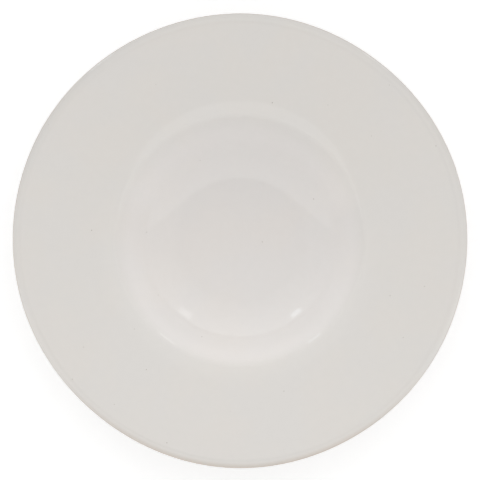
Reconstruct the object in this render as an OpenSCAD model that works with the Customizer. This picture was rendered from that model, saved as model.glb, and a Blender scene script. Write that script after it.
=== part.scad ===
// Wide-rim pasta bowl: a fired clay body that carries three coats of glaze.
// Sizes are in millimetres. The bowl stands on z = 0, and the z axis is its axis.
// Every outline is half a section of the bowl, with points [distance from the axis, height].

/* [Overall] */
// Diameter over the bare edge of the rim
bowl_d = 300; // [270:1:340]
// Height from the table to the highest point of the rim
bowl_h = 50; // [46:1:58]

/* [Rim] */
// Diameter of the corner in which the rim face and the wall of the well would meet
well_d = 168; // [156:1:190]
// Rise of the rim face towards the edge, in degrees
rim_angle = 8; // [3:0.5:12]
// Thickness of the rim
rim_t = 5; // [4:0.1:6.5]
// Radius of the rounded corner between the rim face and the wall
knuckle_r = 9; // [5:0.5:12]
// Radius of the long soft shoulder by which the rim face dips towards that corner
shoulder_r = 70; // [40:1:120]
// Slope at which the shoulder ends and the corner starts, in degrees
shoulder_angle = 16.5; // [13:0.5:22]
// Radius of the soft roll from the rim face to the edge
roll_r = 7; // [6:0.5:10]
// Radius of the nose at the edge
nose_r = 1.6; // [1:0.1:2.2]
// Radius of the hollow corner under the rim
under_r = 9; // [4:0.5:14]

/* [Well] */
// Slope of the wall, in degrees
wall_angle = 42; // [40:1:50]
// Thickness of the wall
wall_t = 5.5; // [4:0.1:7]
// Radius of the large curve between the floor and the wall
fillet_r = 44; // [34:1:48]
// Radius of the shallow dish of the floor
dish_r = 320; // [280:5:600]
// Thickness of the base in the middle
base_t = 6; // [4.5:0.1:8]

/* [Foot ring] */
// Outer diameter of the foot ring at the table
foot_d = 104; // [92:1:114]
// Width of the foot ring at the table
foot_w = 5; // [4:0.1:7]
// Height of the base above the table in the middle
recess_h = 4; // [3:0.1:6]
// Lean of the sides of the foot ring from the upright, in degrees
foot_lean = 12; // [5:1:20]
// Radius of the lower edges of the foot ring
foot_edge_r = 0.8; // [0.4:0.1:1.2]
// Radius of the hollow corner between the foot ring and the wall
root_r = 4; // [2:0.5:6]
// Radius of the hollow corner between the foot ring and the base
recess_r = 2.5; // [1.5:0.5:3.5]

/* [Glaze] */
// Thickness of the glaze
glaze_t = 0.35; // [0.2:0.05:0.5]
// Arc of the nose that the glaze leaves bare, in degrees
lip_bare = 50; // [20:5:70]
// Width over which the glaze thins out beside it
lip_taper = 0.55; // [0.3:0.05:0.9]
// Height of the bare clay on the sides of the foot ring
foot_bare = 1.5; // [1.2:0.1:2.2]
// Height over which the glaze thins out above it
foot_taper = 0.6; // [0.3:0.1:1]

/* [Hidden] */

clay_colour = [0.72, 0.6, 0.47];
glaze_colour = [0.85, 0.84, 0.81];
// An arc's chords stay this close to it
arc_tol = 0.01;
// Points closer than this are one point
same_point = 0.001;
// Sides of a turned solid where it is drawn with flat faces
turn_sides = 180;
// Slope of the surface at the bowl's widest point
edge_slope = -90;

// An arc under its centre, between two slopes of its surface
function arc_below(centre, radius, from, to) =
    [for (slope = slopes(radius, from, to)) centre + radius * [sin(slope), -cos(slope)]];

// An arc over its centre, between two slopes of its surface
function arc_above(centre, radius, from, to) =
    [for (slope = slopes(radius, from, to)) centre + radius * [-sin(slope), cos(slope)]];

// The slopes at an arc's points
function slopes(radius, from, to) =
    let (step = 2 * acos(1 - arc_tol / radius))
    let (count = max(2, ceil(abs(to - from) / step)))
    [for (i = [0 : count]) from + (to - from) * i / count];

// The first point on a line, from its start along its unit vector, that lies at a distance from a centre
function reach(start, along, centre, distance) =
    let (offset = start - centre)
    let (middle = offset * along)
    start - (middle + sqrt(middle * middle - offset * offset + distance * distance)) * along;

// The step from the crossing of two sloping lines to the point that lies so far beneath each of them
function beneath(slope_a, depth_a, slope_b, depth_b) =
    [depth_b * cos(slope_a) - depth_a * cos(slope_b), depth_b * sin(slope_a) - depth_a * sin(slope_b)]
    / sin(slope_b - slope_a);

// One outline out of several runs of points, without repeated points
function joined(runs) =
    let (points = [for (run = runs) each run])
    [for (i = [0 : len(points) - 1]) if (i == 0 || norm(points[i] - points[i - 1]) > same_point) points[i]];

function reversed(points) = [for (i = [len(points) - 1 : -1 : 0]) points[i]];

function degrees(angle) = angle * 180 / PI;

function radians(angle) = angle * PI / 180;

// Edge of the rim: a nose, and a larger roll that meets the nose, the rim face and the glazed height
nose_slope = rim_angle - acos((roll_r - rim_t + nose_r) / (roll_r - nose_r));
roll_to_nose = (roll_r - nose_r) * [-sin(nose_slope), cos(nose_slope)];
nose_c = [bowl_d / 2 - nose_r, bowl_h - glaze_t - roll_r + roll_to_nose.y];
roll_c = nose_c - roll_to_nose;

// Corner of the rim face and the wall: a knuckle, a larger shoulder that meets it and the rim face, and the
// hollow under them
rim_end = roll_c + roll_r * [-sin(rim_angle), cos(rim_angle)];
corner = [well_d / 2, rim_end.y - (rim_end.x - well_d / 2) * tan(rim_angle)];
knuckle_depth = shoulder_r - (shoulder_r - knuckle_r) * cos(shoulder_angle - rim_angle);
knuckle_c = corner + beneath(rim_angle, knuckle_depth, wall_angle, knuckle_r);
shoulder_c = knuckle_c - (shoulder_r - knuckle_r) * [-sin(shoulder_angle), cos(shoulder_angle)];
under_c = corner + beneath(rim_angle, rim_t + under_r, wall_angle, wall_t + under_r);

// Floor of the well: a shallow dish, and a curve that meets the dish and the wall
dish_c = [0, recess_h + base_t + dish_r];
wall_up = [cos(wall_angle), sin(wall_angle)];
wall_in = [-sin(wall_angle), cos(wall_angle)];
fillet_c = reach(corner + fillet_r * wall_in, wall_up, dish_c, dish_r - fillet_r);
dish_end = atan2(fillet_c.x, dish_c.y - fillet_c.y);

// Outside of the well: the heel runs along with the floor's curve and meets the foot ring in a hollow corner.
// Where the foot ring is too wide for that, the corner lies between it and the wall.
heel_r = fillet_r + wall_t;
foot_out_x = foot_d / 2;
foot_out_up = [sin(foot_lean), cos(foot_lean)];
foot_out_away = [cos(foot_lean), -sin(foot_lean)];
root_start = [foot_out_x, 0] + root_r * foot_out_away;
root_to_wall = (corner - root_start) * wall_in - wall_t - root_r;
root_at_wall = root_start + root_to_wall / (foot_out_up * wall_in) * foot_out_up;
root_at_heel = reach(root_start, foot_out_up, fillet_c, heel_r + root_r);
root_slope = atan2(root_at_heel.x - fillet_c.x, fillet_c.y - root_at_heel.y);
root_c = root_slope < wall_angle ? root_at_heel : root_at_wall;
heel_end = min(root_slope, wall_angle);

// Inside of the foot ring: the base runs along with the dish and meets the foot ring in a hollow corner
ceiling_r = dish_r + base_t;
foot_in_x = foot_out_x - foot_w;
foot_in_up = [-sin(foot_lean), cos(foot_lean)];
foot_in_away = [-cos(foot_lean), -sin(foot_lean)];
recess_c = reach([foot_in_x, 0] + recess_r * foot_in_away, foot_in_up, dish_c, ceiling_r + recess_r);
recess_end = atan2(recess_c.x, dish_c.y - recess_c.y);

// Slope of the sides of the foot ring, and how far its lower rounds reach in
foot_slope = 90 - foot_lean;
foot_round = foot_edge_r * (1 - sin(foot_lean)) / cos(foot_lean);

// Slopes of the edge between which the clay is bare, and those at which the glaze has its full thickness
lip_face = edge_slope + lip_bare / 2;
lip_back = edge_slope - lip_bare / 2;
nose_run = max(0, nose_slope - lip_face);
nose_turn = degrees(lip_taper / nose_r);
face_full = nose_turn < nose_run ? lip_face + nose_turn
    : lip_face + nose_run + degrees((lip_taper - nose_r * radians(nose_run)) / roll_r);
back_full = lip_back - nose_turn;

// The face of the bowl from the axis to a slope of the edge, with a coat of some thickness
function face_curve(coat, end_slope) = joined([
    arc_below(dish_c, dish_r - coat, 0, dish_end),
    arc_below(fillet_c, fillet_r - coat, dish_end, wall_angle),
    arc_above(knuckle_c, knuckle_r + coat, wall_angle, shoulder_angle),
    arc_above(shoulder_c, shoulder_r + coat, shoulder_angle, rim_angle),
    arc_above(roll_c, roll_r + coat, rim_angle, 0),
    arc_above(roll_c, roll_r + coat, 0, max(nose_slope, end_slope)),
    end_slope < nose_slope ? arc_above(nose_c, nose_r + coat, nose_slope, end_slope) : []
]);

// The bare edge of the clay, over its widest point
function lip_curve() = joined([
    lip_face > nose_slope ? arc_above(roll_c, roll_r, lip_face, nose_slope) : [],
    arc_above(nose_c, nose_r, min(nose_slope, lip_face), edge_slope),
    arc_above(nose_c, nose_r, edge_slope, lip_back)
]);

// The back of the bowl from a slope of the edge down to a height on the foot ring
function back_curve(coat, start_slope, end_height) = joined([
    arc_above(nose_c, nose_r + coat, start_slope, rim_angle - 180),
    arc_above(under_c, under_r - coat, rim_angle, wall_angle),
    arc_below(fillet_c, heel_r + coat, wall_angle, heel_end),
    arc_above(root_c, root_r - coat, heel_end, foot_slope),
    [[foot_out_x + end_height * tan(foot_lean) + coat / cos(foot_lean), end_height]]
]);

// The foot ring's bearing face, between its rounded lower edges
function bearing_curve() = joined([
    arc_below([foot_out_x - foot_round, foot_edge_r], foot_edge_r, foot_slope, 0),
    arc_below([foot_in_x + foot_round, foot_edge_r], foot_edge_r, 0, -foot_slope)
]);

// The base from a height on the inside of the foot ring to the axis
function base_curve(coat, start_height) = joined([
    [[foot_in_x - start_height * tan(foot_lean) - coat / cos(foot_lean), start_height]],
    arc_above(recess_c, recess_r - coat, -foot_slope, recess_end),
    arc_below(dish_c, ceiling_r + coat, recess_end, 0)
]);

module turned(outline) {
    rotate_extrude($fn = turn_sides) polygon(outline);
}

// Fired clay: rim, wall, floor and foot ring in one
module clay_body() {
    color(clay_colour) turned(joined([
        face_curve(0, lip_face),
        lip_curve(),
        back_curve(0, lip_back, foot_bare),
        bearing_curve(),
        base_curve(0, foot_bare)
    ]));
}

// Glaze on the floor, the wall and the rim face
module face_glaze() {
    color(glaze_colour) turned(joined([
        face_curve(0, lip_face),
        reversed(face_curve(glaze_t, face_full))
    ]));
}

// Glaze under the rim and down the outside to the foot ring
module back_glaze() {
    color(glaze_colour) turned(joined([
        back_curve(0, lip_back, foot_bare),
        reversed(back_curve(glaze_t, back_full, foot_bare + foot_taper))
    ]));
}

// Glaze on the base inside the foot ring
module base_glaze() {
    color(glaze_colour) turned(joined([
        base_curve(0, foot_bare),
        reversed(base_curve(glaze_t, foot_bare + foot_taper))
    ]));
}

clay_body();
face_glaze();
back_glaze();
base_glaze();
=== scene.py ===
"""A wide-rim stoneware pasta bowl on a pale floor, seen straight along its axis in soft studio light."""

import math

import bmesh
import bpy
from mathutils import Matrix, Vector


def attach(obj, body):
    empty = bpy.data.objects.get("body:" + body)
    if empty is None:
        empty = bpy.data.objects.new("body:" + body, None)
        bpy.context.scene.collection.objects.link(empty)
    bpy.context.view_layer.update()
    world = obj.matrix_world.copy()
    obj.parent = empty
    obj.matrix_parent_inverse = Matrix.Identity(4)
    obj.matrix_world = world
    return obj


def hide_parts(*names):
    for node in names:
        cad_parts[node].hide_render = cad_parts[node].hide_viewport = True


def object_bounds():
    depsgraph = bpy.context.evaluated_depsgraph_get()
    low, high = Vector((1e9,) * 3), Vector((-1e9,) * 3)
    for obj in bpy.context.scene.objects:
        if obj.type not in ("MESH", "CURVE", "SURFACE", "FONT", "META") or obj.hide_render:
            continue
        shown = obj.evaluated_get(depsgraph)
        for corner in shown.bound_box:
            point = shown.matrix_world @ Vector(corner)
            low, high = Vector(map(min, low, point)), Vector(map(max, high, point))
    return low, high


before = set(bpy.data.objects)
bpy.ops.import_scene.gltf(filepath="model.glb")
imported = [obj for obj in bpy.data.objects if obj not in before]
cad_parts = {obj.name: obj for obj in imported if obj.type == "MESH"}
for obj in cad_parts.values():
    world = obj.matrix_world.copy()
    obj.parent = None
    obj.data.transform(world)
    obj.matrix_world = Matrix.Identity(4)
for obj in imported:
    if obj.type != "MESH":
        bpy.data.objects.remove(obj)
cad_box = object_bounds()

# Lengths are in metres and angles in degrees. +Z is the bowl's axis, and +Y is up in the picture, so the
# bowl's high side is at +Y and its low side at -Y
MILLIMETRE = 0.001

# Turned pieces: sides of a full turn, and the longest step and largest bend from one row to the next
SIDES = 192
ROW_LENGTH = 1.2 * MILLIMETRE
ROW_TURN = 1.5
# Points closer than the first are one. A turn below the second is none, and one above the third is a corner
SAME_POINT = 1e-6
STRAIGHT_TURN = 0.02
CORNER_TURN = 60.0
# What a turned piece keeps at each point: how far along the outline it is, and how far from a corner
ALONG = "along"
CORNER_GAP = "corner_gap"

# The edge is a little out of round: waves round it, each as (count, height, angle of a crest). They grow
# with this power of the distance from the axis
EDGE_WAVES = [
    (2, 0.34 * MILLIMETRE, -36.0),
    (3, 0.25 * MILLIMETRE, 35.0),
    (4, 0.21 * MILLIMETRE, 2.0),
    (6, 0.17 * MILLIMETRE, 23.0),
]
WAVE_POWER = 2

# The wall of the well isn't quite straight: on the low side it bellies a little between these distances
# from the axis, and the belly fades out towards the high side
WALL_FROM = 64.4 * MILLIMETRE
WALL_TO = 81.1 * MILLIMETRE
WALL_BELLY = 0.24 * MILLIMETRE

# Picture, in pixels: its side, and the bowl's mean radius and middle
PICTURE_SIDE = 480
BOWL_RADIUS_PX = 227.4
BOWL_CENTRE_PX = (240.1, 240.4)
# Camera: its distance from the rim, how far it sees, and its sensor's width in millimetres
CAMERA_DISTANCE = 1.8
CAMERA_REACH = 50.0
SENSOR_MM = 36.0

# Noise textures: how much detail a smooth, a soft and a fine one has, and where most of their values lie
SMOOTH = 1.0
SOFT = 2.0
FINE = 3.0
NOISE_RANGE = (0.3, 0.7)

# Glaze: off-white, drifting between a warmer and a cooler tone, with fine mottling
GLAZE_WARM = (0.780, 0.748, 0.709, 1.0)
GLAZE_COOL = (0.772, 0.746, 0.714, 1.0)
TONE_SIZE = 45.0 * MILLIMETRE
TONE_RANGE = (0.35, 0.65)
MOTTLE_SIZE = 5.0 * MILLIMETRE
MOTTLE_DEPTH = 0.004
# A few specks, at most one to a cell. Each fades in between two shares of its radius. There are more of
# them towards one side: the last pair is the share of cells with a speck opposite that side and at it
SPECK_BROWN = (0.36, 0.31, 0.26, 1.0)
SPECK_GAP = 7.0 * MILLIMETRE
SPECK_RADIUS = 0.45 * MILLIMETRE
SPECK_FADE = (1.0, 0.4)
SPECK_SIDE = (0.7, -0.7, 0.0)
SPECK_SHARES = (0.05, 0.65)
# Painted light: the well is painted a little whiter, standing in for the brighter light that falls in it.
# The edge of this painted light lies between these distances from the axis. On the low side, where light
# from above falls on the wall, it stays full further out and is sharper than on the high side
WELL_LIGHT_TINT = (1.060, 1.057, 1.071, 1.0)
WELL_LIGHT_EDGE_LOW = (85.0 * MILLIMETRE, 77.5 * MILLIMETRE)
WELL_LIGHT_EDGE_HIGH = (87.0 * MILLIMETRE, 67.0 * MILLIMETRE)
# Towards its edges: on the high side the glaze is painted greyer, a painted shade, and on the low side it
# turns towards the clay's tan, most of all in the last feather edge. Each is (width, share, heights): the
# share is full at the first height in the picture, in radii of the bowl, and nothing at the second
HIGH_EDGE_PAINTED_SHADE = (9.0 * MILLIMETRE, 0.34, (0.8, -0.4))
LOW_EDGE_TAN = (5.5 * MILLIMETRE, 0.35, (-1.0, -0.5))
FEATHER_TAN = (0.7 * MILLIMETRE, 0.35, (-1.0, 0.6))
EDGE_SHADE_GREY = (0.39, 0.375, 0.355, 1.0)
# Gloss, soft orange peel and faint rings from the wheel
GLAZE_IOR = 1.56
GLOSS_ROUGHNESS = (0.04, 0.07)
GLOSS_SIZE = 14.0 * MILLIMETRE
PEEL_SIZE = 2.5 * MILLIMETRE
PEEL_HEIGHT = 0.004 * MILLIMETRE
RING_SIZE = 6.0 * MILLIMETRE
RING_HEIGHT = 0.006 * MILLIMETRE

# Bare clay: fired tan stoneware with darker grains
CLAY_TAN = (0.47, 0.33, 0.21, 1.0)
CLAY_DARK = (0.33, 0.22, 0.13, 1.0)
CLAY_ROUGHNESS = (0.75, 0.95)
CLAY_GRAIN = 0.7 * MILLIMETRE
CLAY_GRAIN_HEIGHT = 0.03 * MILLIMETRE
CLAY_GRAIN_RANGE = (0.15, 0.4)
CLAY_TONE_SIZE = 12.0 * MILLIMETRE

# Floor: pale, a hair under the foot ring, and lifted towards white where it is looked at
FLOOR_SIDE = 6.0
FLOOR_GAP = 0.2 * MILLIMETRE
FLOOR_WHITE = (0.85, 0.85, 0.85, 1.0)
FLOOR_LIFT = 0.37

# Studio: white light all round, as a level and what is added towards the right, up, down and the camera
STUDIO_WHITE = (1.0, 1.0, 1.0, 1.0)
STUDIO_LEVEL = 0.764
STUDIO_RIGHT = 0.027
STUDIO_UP = 0.61
STUDIO_DOWN = -0.43
STUDIO_AHEAD = -0.03
# It is darker in an oval just below the camera
DARK_HALF_WIDTH = 39.5
DARK_HALF_HEIGHT = 32.0
DARK_DROP = 5.5
DARK_ADDED = -0.45
# A pale table begins below the camera at this angle, over a narrow blur, and fades out at both sides
TABLE_ANGLE = 16.5
TABLE_BLUR = 1.0
TABLE_SIDES = (82.0, 64.0)
TABLE_ADDED = 0.50
# A darker strip lies along the horizon behind the bowl's high side. Its upper edge and its sides are soft
STRIP_TOP = (3.5, 10.0)
STRIP_SIDES = (63.0, 41.0)
STRIP_ADDED = -1.05

# Lamps, each as (name, middle, width, height, brightness, colour). They face the bowl
LAMPS = [
    ("left_box", (-0.774, 1.008, 0.454), 0.16, 0.24, 1.9, (0.82, 0.93, 1.0)),
    ("right_box", (0.763, 1.010, 0.465), 0.18, 0.30, 1.1, (1.0, 1.0, 1.0)),
]
WATTS_PER_BRIGHTNESS = math.pi

edge_radius = (cad_box[1].x - cad_box[0].x) / 2


def sine(angle):
    """The sine of an angle in degrees."""
    return math.sin(math.radians(angle))


def cosine(angle):
    """The cosine of an angle in degrees."""
    return math.cos(math.radians(angle))


def section(node):
    """A turned node's outline, in order, as (distance from the axis, height) points, and if it is a loop.

    Each band of the node's surface starts at the half plane y = 0, x > 0, so the outline is the chain of
    edges in it. It runs from axis to axis, or round in a loop.
    """
    shape = bmesh.new()
    shape.from_mesh(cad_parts[node].data)
    bmesh.ops.remove_doubles(shape, verts=shape.verts, dist=SAME_POINT)
    cut = {v for v in shape.verts if abs(v.co.y) < SAME_POINT and v.co.x > -SAME_POINT}
    ends = [v for v in cut if v.co.x < SAME_POINT]
    # The chain starts at its upper end on the axis, or on a loop at the point farthest out and up
    here = max(ends or cut, key=lambda v: v.co.x + v.co.z)
    points = []
    while here:
        points.append(Vector((here.co.x, here.co.z)))
        cut.discard(here)
        onward = [e.other_vert(here) for e in here.link_edges if e.other_vert(here) in cut]
        here = onward[0] if onward else None
    shape.free()
    return points, not ends


def turn_at(before, here, after):
    """How far a line through three points turns at the middle one, in degrees."""
    return math.degrees((here - before).angle(after - here))


def bends(points, loop):
    """The outline without the points that lie on a straight stretch."""
    kept = []
    for i, here in enumerate(points):
        at_end = not loop and i in (0, len(points) - 1)
        before, after = points[i - 1], points[(i + 1) % len(points)]
        if at_end or turn_at(before, here, after) > STRAIGHT_TURN:
            kept.append(here)
    return kept


def directions(points, loop):
    """The outline's direction into and out of each point: one at a bend, two at a corner."""
    found = []
    for i, here in enumerate(points):
        first, last = not loop and i == 0, not loop and i == len(points) - 1
        chord_in = None if first else here - points[i - 1]
        chord_out = None if last else points[(i + 1) % len(points)] - here
        if first or last:
            level = Vector((math.copysign(1.0, (chord_out or chord_in).x), 0.0))
            found.append((level, level))
        elif math.degrees(chord_in.angle(chord_out)) > CORNER_TURN:
            found.append((chord_in.normalized(), chord_out.normalized()))
        else:
            along = (chord_in + chord_out).normalized()
            found.append((along, along))
    return found


def hermite(start, leave, end, arrive, t):
    """A point on the curve that leaves start and arrives at end with these speeds."""
    return (
        start * (2 * t ** 3 - 3 * t ** 2 + 1)
        + leave * (t ** 3 - 2 * t ** 2 + t)
        + end * (3 * t ** 2 - 2 * t ** 3)
        + arrive * (t ** 3 - t ** 2)
    )


def corner_gap(place, corner, total, loop):
    """The distance along the outline between a place and a corner."""
    gap = abs(place - corner)
    return min(gap, total - gap) if loop else gap


def rows(points, loop):
    """The outline with curved rows between its bends.

    Each row comes with its distance along the outline and its distance from the nearest corner.
    """
    ways = directions(points, loop)
    fine, lengths, corners = [], [0.0], []
    count = len(points) if loop else len(points) - 1
    for i in range(count):
        start, end = points[i], points[(i + 1) % len(points)]
        leave, arrive = ways[i][1], ways[(i + 1) % len(points)][0]
        chord = (end - start).length
        steps = math.ceil(max(math.degrees(leave.angle(arrive)) / ROW_TURN, chord / ROW_LENGTH, 1))
        if ways[i][0] != ways[i][1]:
            corners.append(lengths[-1])
        for k in range(steps):
            fine.append(hermite(start, leave * chord, end, arrive * chord, k / steps))
            lengths.append(lengths[-1] + chord / steps)
    if not loop:
        fine.append(points[-1])
    total = lengths[-1]
    gaps = [min((corner_gap(s, c, total, loop) for c in corners), default=total) for s in lengths]
    return fine, lengths[:len(fine)], gaps[:len(fine)]


def wave(angle):
    """How far the edge's waves stand out at an angle round the axis."""
    return sum(height * cosine(count * (angle - crest)) for count, height, crest in EDGE_WAVES)


def side_angles(count=SIDES):
    """The angles round the axis at which a turned piece has its points."""
    return [360 * i / SIDES for i in range(count)]


wave_peak = max(wave(angle) for angle in side_angles())


def belly(radius, angle):
    """How far the wall bellies upwards at a distance from the axis and an angle round it."""
    t = (radius - WALL_FROM) / (WALL_TO - WALL_FROM)
    low = (1 - sine(angle)) / 2
    # The arch 4t(1 - t) is 1 half way along the wall
    return WALL_BELLY * low * 4 * t * (1 - t) if 0 < t < 1 else 0.0


def ring(shape, place, length, gap):
    """One row of a turned skin: a ring of points, or a single point on the axis."""
    along = shape.verts.layers.float[ALONG]
    from_corner = shape.verts.layers.float[CORNER_GAP]
    found = []
    for angle in side_angles(SIDES if place.x > SAME_POINT else 1):
        radius = place.x + (wave(angle) - wave_peak) * (place.x / edge_radius) ** WAVE_POWER
        height = max(place.y + belly(place.x, angle), cad_box[0].z)
        vert = shape.verts.new((radius * cosine(angle), radius * sine(angle), height))
        vert[along] = length
        vert[from_corner] = gap
        found.append(vert)
    return found


def skin(shape, rings, loop):
    """Smooth faces from each row to the next, sharp only at the outline's corners."""
    pairs = list(zip(rings, rings[1:]))
    if loop:
        pairs.append((rings[-1], rings[0]))
    for lower, upper in pairs:
        for i in range(SIDES):
            j = (i + 1) % SIDES
            corners = [lower[i % len(lower)], lower[j % len(lower)]]
            corners += [upper[j % len(upper)], upper[i % len(upper)]]
            # Beside a single point on the axis two corners are the same
            shape.faces.new(list(dict.fromkeys(corners))).smooth = True
    bmesh.ops.recalc_face_normals(shape, faces=shape.faces)
    for edge in shape.edges:
        edge.smooth = edge.calc_face_angle(0.0) < math.radians(CORNER_TURN)


def turned(node, material):
    """A fine turned piece in the place of a CAD node, with the edge's waves and the wall's belly."""
    points, loop = section(node)
    shape = bmesh.new()
    shape.verts.layers.float.new(ALONG)
    shape.verts.layers.float.new(CORNER_GAP)
    rings = [ring(shape, *row) for row in zip(*rows(bends(points, loop), loop))]
    skin(shape, rings, loop)
    mesh = bpy.data.meshes.new(node + "_turned")
    shape.to_mesh(mesh)
    shape.free()
    mesh.materials.append(material)
    piece = bpy.data.objects.new(node + "_turned", mesh)
    bpy.context.scene.collection.objects.link(piece)
    normals = piece.modifiers.new("even_normals", "WEIGHTED_NORMAL")
    normals.keep_sharp = True
    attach(piece, "root")
    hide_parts(node)
    return piece


def add(tree, kind, inputs=None, **settings):
    """A new shader node. Its inputs are values, or outputs of other nodes to link to."""
    item = tree.nodes.new("ShaderNode" + kind)
    for name, value in settings.items():
        setattr(item, name, value)
    for name, value in (inputs or {}).items():
        if isinstance(value, bpy.types.NodeSocket):
            tree.links.new(value, item.inputs[name])
        else:
            item.inputs[name].default_value = value
    return item


def maths(tree, operation, *values):
    """One step of arithmetic on numbers or on outputs of nodes."""
    return add(tree, "Math", dict(enumerate(values)), operation=operation).outputs[0]


def ramp(tree, value, low, high, start=0.0, end=1.0):
    """A number that goes smoothly from start to end while the value goes from low to high."""
    ends = {"Value": value, "From Min": low, "From Max": high, "To Min": start, "To Max": end}
    return add(tree, "MapRange", ends, interpolation_type="SMOOTHSTEP").outputs["Result"]


def blend(tree, share, start, end):
    """A colour between two colours."""
    return add(tree, "MixRGB", {"Fac": share, "Color1": start, "Color2": end}).outputs["Color"]


def cloud(tree, place, size, detail):
    """Noise from 0 to 1 with features of about this size."""
    settings = {"Vector": place, "Scale": 1 / size, "Detail": detail}
    return add(tree, "TexNoise", settings).outputs["Fac"]


def kept_value(tree, name):
    """A value that a turned piece keeps at each point."""
    return add(tree, "Attribute", attribute_name=name).outputs["Fac"]


def height_in_picture(tree, place):
    """How far a place is up in the picture from the bowl's axis."""
    return add(tree, "SeparateXYZ", {"Vector": place}).outputs["Y"]


def from_axis(tree, place):
    """The distance of a place from the bowl's axis, or the size of a direction's lean from it."""
    flat = add(tree, "VectorMath", {0: place, 1: (1.0, 1.0, 0.0)}, operation="MULTIPLY")
    return add(tree, "VectorMath", {0: flat.outputs["Vector"]}, operation="LENGTH").outputs["Value"]


def finish_of(name):
    """A new material with its node tree, its surface shader and the places on the object, in metres."""
    material = bpy.data.materials.new(name)
    material.use_nodes = True
    tree = material.node_tree
    place = add(tree, "TexCoord").outputs["Object"]
    return material, tree, tree.nodes["Principled BSDF"], place


def specks(tree, place):
    """Small round dots, 1 in the middle of a dot and 0 between dots. Only a share of the cells has one."""
    cells = add(tree, "TexVoronoi", {"Vector": place, "Scale": 1 / SPECK_GAP})
    chance = add(tree, "SeparateColor", {"Color": cells.outputs["Color"]})
    size = maths(tree, "MULTIPLY", chance.outputs["Green"], SPECK_RADIUS / SPECK_GAP)
    dot = ramp(tree, maths(tree, "DIVIDE", cells.outputs["Distance"], size), *SPECK_FADE)
    side = add(tree, "VectorMath", {0: place, 1: SPECK_SIDE}, operation="DOT_PRODUCT").outputs["Value"]
    share = ramp(tree, side, -edge_radius, edge_radius, *SPECK_SHARES)
    chosen = maths(tree, "LESS_THAN", chance.outputs["Red"], share)
    return maths(tree, "MULTIPLY", dot, chosen)


def painted_well_light(tree, place):
    """1 where the well is painted whiter as painted light, and 0 outside the well."""
    high = height_in_picture(tree, place)
    reach = WELL_LIGHT_EDGE_LOW[0]
    edge = [ramp(tree, high, -reach, reach, *ends) for ends in zip(WELL_LIGHT_EDGE_LOW, WELL_LIGHT_EDGE_HIGH)]
    return ramp(tree, from_axis(tree, place), *edge)


def edge_share(tree, place, width, share, heights):
    """A share that grows towards the edge of a coat and from one height in the picture to another."""
    near = ramp(tree, kept_value(tree, CORNER_GAP), width, 0.0)
    full, none = (edge_radius * height for height in heights)
    by_height = ramp(tree, height_in_picture(tree, place), full, none, share, 0.0)
    return maths(tree, "MULTIPLY", near, by_height)


def glaze_colour(tree, place, lit_well):
    """Two tones of off-white with mottling and specks, painted whiter in the well as painted light, painted
    greyer at the high edges as painted shade, and tan at the low edges.
    """
    tone = ramp(tree, cloud(tree, place, TONE_SIZE, SOFT), *TONE_RANGE)
    colour = blend(tree, tone, GLAZE_WARM, GLAZE_COOL)
    mottle = cloud(tree, place, MOTTLE_SIZE, FINE)
    value = ramp(tree, mottle, *NOISE_RANGE, 1 - MOTTLE_DEPTH, 1 + MOTTLE_DEPTH)
    colour = add(tree, "HueSaturation", {"Color": colour, "Value": value}).outputs["Color"]
    # Painted light: the well is whitened, standing in for the brighter light that falls in it
    if lit_well:
        tint = {"Fac": painted_well_light(tree, place), "Color1": colour, "Color2": WELL_LIGHT_TINT}
        colour = add(tree, "MixRGB", tint, blend_type="MULTIPLY").outputs["Color"]
    colour = blend(tree, specks(tree, place), colour, SPECK_BROWN)
    # Painted shade: the coat's edges on the high side are darkened towards grey
    colour = blend(tree, edge_share(tree, place, *HIGH_EDGE_PAINTED_SHADE), colour, EDGE_SHADE_GREY)
    tan = maths(tree, "ADD", edge_share(tree, place, *LOW_EDGE_TAN), edge_share(tree, place, *FEATHER_TAN))
    return blend(tree, tan, colour, CLAY_TAN)


def glaze_bump(tree, place):
    """Soft orange peel, and faint rings along the outline."""
    peel = add(tree, "Bump", {"Height": cloud(tree, place, PEEL_SIZE, SMOOTH), "Distance": PEEL_HEIGHT})
    course = {"W": kept_value(tree, ALONG), "Scale": 1 / RING_SIZE, "Detail": SMOOTH}
    rings = add(tree, "TexNoise", course, noise_dimensions="1D").outputs["Fac"]
    both = {"Height": rings, "Distance": RING_HEIGHT, "Normal": peel.outputs["Normal"]}
    return add(tree, "Bump", both).outputs["Normal"]


def glaze(name, lit_well=False):
    """Off-white gloss glaze. On the face the well is painted whiter, as painted light."""
    material, tree, surface, place = finish_of(name)
    tree.links.new(glaze_colour(tree, place, lit_well), surface.inputs["Base Color"])
    surface.inputs["IOR"].default_value = GLAZE_IOR
    rough = ramp(tree, cloud(tree, place, GLOSS_SIZE, SOFT), *NOISE_RANGE, *GLOSS_ROUGHNESS)
    tree.links.new(rough, surface.inputs["Roughness"])
    tree.links.new(glaze_bump(tree, place), surface.inputs["Normal"])
    return material


def bare_clay(name):
    """Fired tan stoneware, matt and a little grainy."""
    material, tree, surface, place = finish_of(name)
    grain = cloud(tree, place, CLAY_GRAIN, FINE)
    tone = cloud(tree, place, CLAY_TONE_SIZE, SOFT)
    share = ramp(tree, maths(tree, "MULTIPLY", grain, tone), *CLAY_GRAIN_RANGE)
    tree.links.new(blend(tree, share, CLAY_DARK, CLAY_TAN), surface.inputs["Base Color"])
    tree.links.new(ramp(tree, grain, *NOISE_RANGE, *CLAY_ROUGHNESS), surface.inputs["Roughness"])
    bump = add(tree, "Bump", {"Height": grain, "Distance": CLAY_GRAIN_HEIGHT})
    tree.links.new(bump.outputs["Normal"], surface.inputs["Normal"])
    return material


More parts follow.
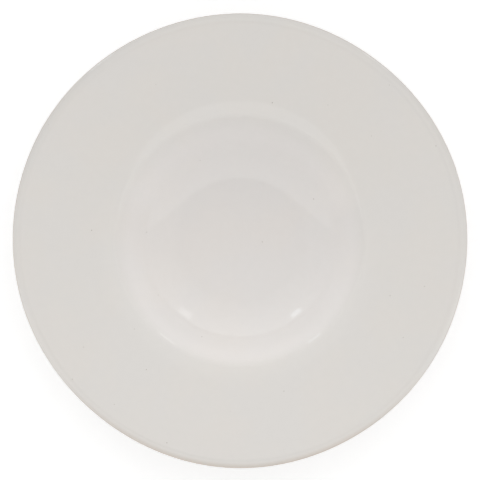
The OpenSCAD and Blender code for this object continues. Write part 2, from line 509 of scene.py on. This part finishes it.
def camera():
    """A camera on the axis that frames the bowl as the photograph does."""
    data = bpy.data.cameras.new("camera")
    data.sensor_width = SENSOR_MM
    mean_radius = edge_radius - wave_peak
    data.lens = SENSOR_MM * BOWL_RADIUS_PX / PICTURE_SIDE * CAMERA_DISTANCE / mean_radius
    data.shift_x = 0.5 - BOWL_CENTRE_PX[0] / PICTURE_SIDE
    data.shift_y = BOWL_CENTRE_PX[1] / PICTURE_SIDE - 0.5
    data.clip_end = CAMERA_REACH
    item = bpy.data.objects.new("camera", data)
    item.location = (0.0, 0.0, cad_box[1].z + CAMERA_DISTANCE)
    bpy.context.scene.collection.objects.link(item)
    bpy.context.scene.camera = item


def floor_paint():
    """Matt pale paint, lifted for the rays that look at it. From below it is clear and shows the foot."""
    material = bpy.data.materials.new("pale_floor")
    material.use_nodes = True
    tree = material.node_tree
    tree.nodes.clear()
    paint = add(tree, "BsdfDiffuse", {"Color": FLOOR_WHITE}).outputs["BSDF"]
    rays = add(tree, "LightPath").outputs
    looked_at = maths(tree, "MAXIMUM", rays["Is Camera Ray"], rays["Is Glossy Ray"])
    looked_at = maths(tree, "MAXIMUM", looked_at, rays["Is Transmission Ray"])
    strength = maths(tree, "MULTIPLY", looked_at, FLOOR_LIFT)
    lift = add(tree, "Emission", {"Strength": strength}).outputs["Emission"]
    top = add(tree, "AddShader", {0: paint, 1: lift}).outputs["Shader"]
    below = add(tree, "BsdfTransparent").outputs["BSDF"]
    under = add(tree, "NewGeometry").outputs["Backfacing"]
    surface = add(tree, "MixShader", {0: under, 1: top, 2: below}).outputs["Shader"]
    add(tree, "OutputMaterial", {"Surface": surface})
    return material


def floor():
    """A plain pale floor under the bowl."""
    half = FLOOR_SIDE / 2
    mesh = bpy.data.meshes.new("floor")
    corners = [(-half, -half, 0.0), (half, -half, 0.0), (half, half, 0.0), (-half, half, 0.0)]
    mesh.from_pydata(corners, [], [(0, 1, 2, 3)])
    mesh.materials.append(floor_paint())
    item = bpy.data.objects.new("floor", mesh)
    item.location.z = cad_box[0].z - FLOOR_GAP
    bpy.context.scene.collection.objects.link(item)


def dark_oval(tree, direction):
    """1 in the middle of the dark oval and 0 outside it."""
    middle = add(tree, "VectorMath", {0: direction, 1: (0.0, sine(DARK_DROP), 0.0)}, operation="ADD")
    scale = (1 / sine(DARK_HALF_WIDTH), 1 / sine(DARK_HALF_HEIGHT), 0.0)
    oval = add(tree, "VectorMath", {0: middle.outputs["Vector"], 1: scale}, operation="MULTIPLY")
    return ramp(tree, from_axis(tree, oval.outputs["Vector"]), 1.0, 0.0)


def table(tree, right, down, ahead):
    """1 on the pale table and 0 above its edge and at its sides."""
    edge = maths(tree, "MULTIPLY", ahead, math.tan(math.radians(TABLE_ANGLE)))
    below = ramp(tree, maths(tree, "SUBTRACT", down, edge), 0.0, sine(TABLE_BLUR))
    between = ramp(tree, maths(tree, "ABSOLUTE", right), *(sine(angle) for angle in TABLE_SIDES))
    return maths(tree, "MULTIPLY", below, between)


def strip(tree, up, ahead):
    """1 in the strip along the horizon and 0 above it and at its sides."""
    low = ramp(tree, ahead, *(sine(angle) for angle in STRIP_TOP), 1.0, 0.0)
    behind = ramp(tree, up, *(cosine(angle) for angle in STRIP_SIDES))
    return maths(tree, "MULTIPLY", low, behind)


def studio():
    """Soft light from all round, with the darker and the paler parts that the glaze mirrors."""
    world = bpy.data.worlds.new("studio")
    world.use_nodes = True
    tree = world.node_tree
    direction = add(tree, "TexCoord").outputs["Generated"]
    way = add(tree, "SeparateXYZ", {"Vector": direction}).outputs
    right, up, ahead = way["X"], way["Y"], way["Z"]
    down = maths(tree, "MULTIPLY", up, -1.0)
    parts = [
        (right, STUDIO_RIGHT),
        (maths(tree, "MAXIMUM", up, 0.0), STUDIO_UP),
        (maths(tree, "MAXIMUM", down, 0.0), STUDIO_DOWN),
        (maths(tree, "MAXIMUM", ahead, 0.0), STUDIO_AHEAD),
        (dark_oval(tree, direction), DARK_ADDED),
        (table(tree, right, down, ahead), TABLE_ADDED),
        (strip(tree, up, ahead), STRIP_ADDED),
    ]
    level = STUDIO_LEVEL
    for share, added in parts:
        level = maths(tree, "MULTIPLY_ADD", share, added, level)
    background = tree.nodes["Background"]
    background.inputs["Color"].default_value = STUDIO_WHITE
    tree.links.new(level, background.inputs["Strength"])
    bpy.context.scene.world = world


def lamp(name, middle, width, height, brightness, colour):
    """A panel of light that faces the bowl, seen only by its light and its reflections."""
    data = bpy.data.lights.new(name, "AREA")
    data.shape = "RECTANGLE"
    data.size, data.size_y = width, height
    data.energy = brightness * width * height * WATTS_PER_BRIGHTNESS
    data.color = colour
    item = bpy.data.objects.new(name, data)
    item.location = middle
    item.rotation_euler = (-Vector(middle)).to_track_quat("-Z", "Y").to_euler()
    item.visible_camera = False
    bpy.context.scene.collection.objects.link(item)


turned("clay_body", bare_clay("tan_stoneware"))
turned("face_glaze", glaze("off_white_face", lit_well=True))
turned("back_glaze", glaze("off_white_back"))
turned("base_glaze", glaze("off_white_base"))
camera()
floor()
studio()
for details in LAMPS:
    lamp(*details)
bpy.context.scene.view_settings.view_transform = "Standard"
